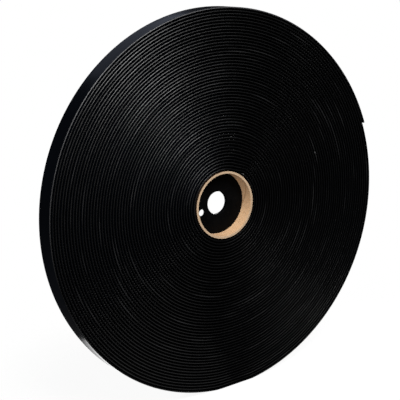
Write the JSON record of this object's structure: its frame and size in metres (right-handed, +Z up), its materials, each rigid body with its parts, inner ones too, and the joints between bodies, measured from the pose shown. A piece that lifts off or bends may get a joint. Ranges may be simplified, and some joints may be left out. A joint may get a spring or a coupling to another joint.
{
  "type": "mushroom fastener tape roll",
  "caption": "Wide roll of black mushroom-stem fastener tape wound on a paperboard core, with a pressed-in hub plug and a free end whose release liner peels.",
  "frame": {"origin": "on the floor under the middle of the roll, which stands on its rim", "axes": "+Y along the roll's axis, from its front to its back; +Z up; the tape's free end is on the +X side"},
  "size_m": [0.462, 0.026, 0.4633],
  "materials": {
    "kraft_board": "raw kraft paperboard",
    "plug_plastic": "moulded black plastic",
    "tape_plastic": "extruded black polyolefin, satin",
    "foam_adhesive": "black acrylic foam",
    "liner_film": "glossy release film"
  },
  "bodies": {
    "roll": {"core_tube": "kraft_board", "hub_plug": "plug_plastic", "wound_tape_inner": "tape_plastic", "wound_tape_outer": "tape_plastic", "release_liner": "liner_film"},
    "tail": {"tail_fastener_strip": "tape_plastic", "tail_adhesive": "foam_adhesive", "tail_liner": "liner_film"},
    "liner": {"liner_tab": "liner_film"}
  },
  "joints": [
    {"name": "tail_lift", "type": "hinge", "parent": "roll", "child": "tail", "pos_m": [0.19333, 0, 0.3627], "axis": [0, -1, 0], "range_deg": [0, 60], "stiffness_Nm_per_rad": 0.008},
    {"name": "liner_peel", "type": "hinge", "parent": "tail", "child": "liner", "pos_m": [0.21264, 0, 0.32889], "axis": [0, -1, 0], "range_deg": [0, 90]}
  ]
}
